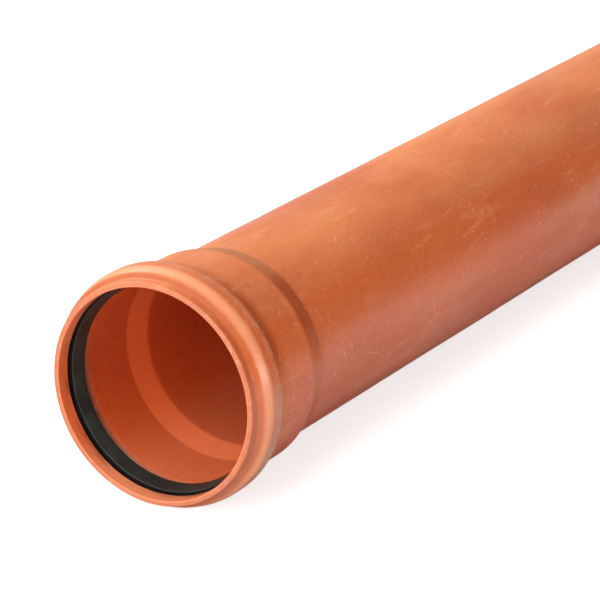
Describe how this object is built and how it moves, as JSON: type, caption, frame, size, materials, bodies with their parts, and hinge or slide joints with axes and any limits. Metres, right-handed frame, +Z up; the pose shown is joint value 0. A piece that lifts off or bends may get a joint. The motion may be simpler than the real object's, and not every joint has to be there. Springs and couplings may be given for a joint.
{
  "type": "sewer pipe",
  "caption": "Straight plastic sewer pipe with a push-fit socket formed on one end, a rubber sealing ring in the socket's bead and a chamfered plain end.",
  "frame": {"origin": "on the floor, under the middle of the pipe's length", "axes": "+X along the pipe from its socket to its plain end, +Z up; the pipe leans by 0.49 degrees, plain end down, because it lies on its bead and its plain end"},
  "size_m": [1.0624, 0.1278, 0.1279],
  "materials": {
    "pipe_plastic": "satin",
    "ring_rubber": "matte"
  },
  "bodies": {
    "root": {"pipe": "pipe_plastic", "sealing_ring": "ring_rubber"}
  },
  "joints": []
}
